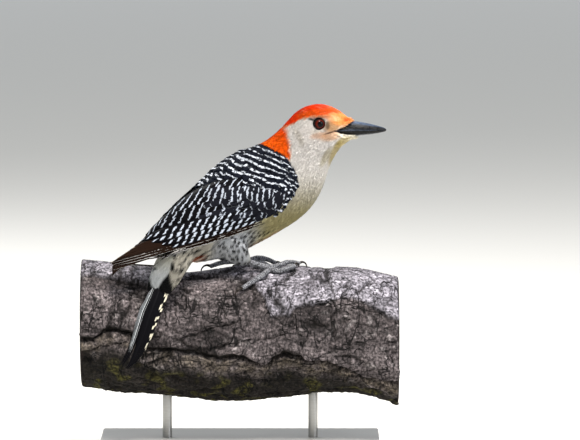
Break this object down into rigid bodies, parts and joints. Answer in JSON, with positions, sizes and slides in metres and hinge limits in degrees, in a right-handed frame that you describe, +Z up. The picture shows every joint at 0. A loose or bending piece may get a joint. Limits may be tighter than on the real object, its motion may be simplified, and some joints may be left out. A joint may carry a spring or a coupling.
{
  "type": "woodpecker",
  "caption": "Life-size still model of a barred-backed, red-crowned woodpecker gripping a cut length of branch, held on a plain display stand.",
  "frame": {"origin": "centre of the underside of the display stand's base", "axes": "+Z up from the base, +X along the branch and the way the bird faces, +Y to the bird's left, away from the side its tail hangs down"},
  "size_m": [0.2, 0.1096, 0.2226],
  "materials": {
    "crown_plumage": "soft overlapping feathers, matte",
    "breast_plumage": "soft hair-like feathers, matte",
    "covert_plumage": "soft loose feathers, matte",
    "tail_feathers": "stiff barred flight feathers, satin",
    "wing_feathers": "barred flight feathers and coverts, satin",
    "bill_horn": "dark horn, polished",
    "claw_horn": "dark horn, polished",
    "foot_skin": "scaled skin, matte",
    "eye_glass": "wet and glossy",
    "bark": "weathered furrowed bark",
    "stand_paint": "painted board, satin",
    "rod_steel": "brushed"
  },
  "bodies": {
    "root": {"head": "crown_plumage", "neck": "breast_plumage", "trunk": "breast_plumage", "bill_upper": "bill_horn", "bill_lower": "bill_horn", "eye_right": "eye_glass", "wing_right": "wing_feathers", "primaries_right": "wing_feathers", "eye_left": "eye_glass", "wing_left": "wing_feathers", "primaries_left": "wing_feathers", "tail_coverts": "covert_plumage", "tail": "tail_feathers", "thigh_right": "breast_plumage", "tarsus_right": "foot_skin", "toe_hallux_right": "foot_skin", "toe_second_right": "foot_skin", "toe_third_right": "foot_skin", "toe_fourth_right": "foot_skin", "claw_hallux_right": "claw_horn", "claw_second_right": "claw_horn", "claw_third_right": "claw_horn", "claw_fourth_right": "claw_horn", "thigh_left": "breast_plumage", "tarsus_left": "foot_skin", "toe_hallux_left": "foot_skin", "toe_second_left": "foot_skin", "toe_third_left": "foot_skin", "toe_fourth_left": "foot_skin", "claw_hallux_left": "claw_horn", "claw_second_left": "claw_horn", "claw_third_left": "claw_horn", "claw_fourth_left": "claw_horn", "perch": "bark", "stand_base": "stand_paint", "stand_rod_1": "rod_steel", "stand_rod_2": "rod_steel"}
  },
  "joints": []
}
